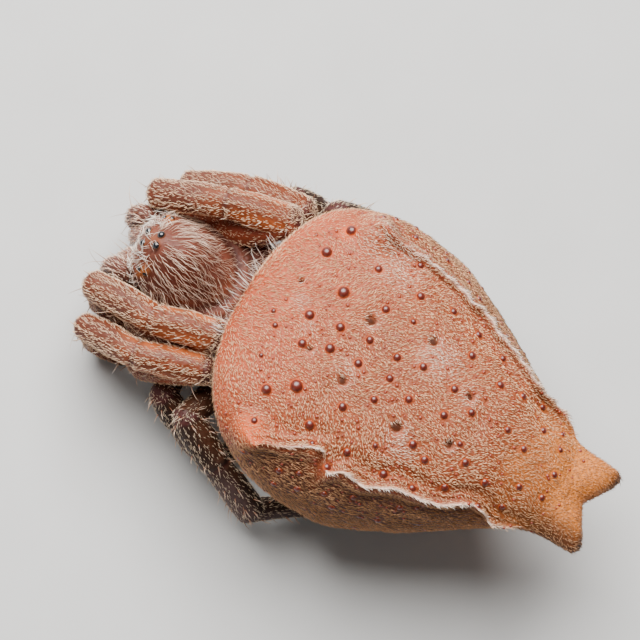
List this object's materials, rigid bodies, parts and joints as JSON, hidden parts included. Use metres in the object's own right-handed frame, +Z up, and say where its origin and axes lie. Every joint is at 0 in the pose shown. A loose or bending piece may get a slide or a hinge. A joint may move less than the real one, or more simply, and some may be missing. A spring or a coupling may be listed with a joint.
{
  "type": "spider",
  "caption": "Double-tailed tent spider, a still life-size museum model of a grown female crouched with her legs drawn in, resting on her toes and spinnerets.",
  "frame": {"origin": "bottom centre of the bounding box, on the ground under the body", "axes": "+Z up, -Y the way the spider faces, +Y towards the two tail lobes, +X the spider's left"},
  "size_m": [0.009, 0.0146, 0.006],
  "materials": {
    "abdomen_skin": "satin, covered in short pale hair",
    "tail_skin": "satin, covered in short pale hair",
    "carapace": "satin shell under long pale hair",
    "leg_front": "satin shell under short pale hair",
    "leg_hind": "satin shell under short pale hair",
    "mouthparts": "satin shell under pale bristles",
    "eye": "polished, glassy black"
  },
  "bodies": {
    "root": {"abdomen": "abdomen_skin", "tail_lobe_left": "tail_skin", "tail_lobe_right": "tail_skin", "cephalothorax": "carapace", "pedicel": "carapace", "chelicera_left": "mouthparts", "chelicera_right": "mouthparts", "palp_left": "mouthparts", "palp_right": "mouthparts", "spinnerets": "mouthparts", "eye_front_median_left": "eye", "eye_front_median_right": "eye", "eye_rear_median_left": "eye", "eye_rear_median_right": "eye", "eye_front_lateral_left": "eye", "eye_front_lateral_right": "eye", "eye_rear_lateral_left": "eye", "eye_rear_lateral_right": "eye", "leg_1_left_femur": "leg_front", "leg_1_left_tibia": "leg_front", "leg_1_left_tarsus": "leg_front", "leg_1_right_femur": "leg_front", "leg_1_right_tibia": "leg_front", "leg_1_right_tarsus": "leg_front", "leg_2_left_femur": "leg_front", "leg_2_left_tibia": "leg_front", "leg_2_left_tarsus": "leg_front", "leg_2_right_femur": "leg_front", "leg_2_right_tibia": "leg_front", "leg_2_right_tarsus": "leg_front", "leg_3_left_femur": "leg_hind", "leg_3_left_tibia": "leg_hind", "leg_3_left_tarsus": "leg_hind", "leg_3_right_femur": "leg_hind", "leg_3_right_tibia": "leg_hind", "leg_3_right_tarsus": "leg_hind", "leg_4_left_femur": "leg_hind", "leg_4_left_tibia": "leg_hind", "leg_4_left_tarsus": "leg_hind", "leg_4_right_femur": "leg_hind", "leg_4_right_tibia": "leg_hind", "leg_4_right_tarsus": "leg_hind"}
  },
  "joints": []
}
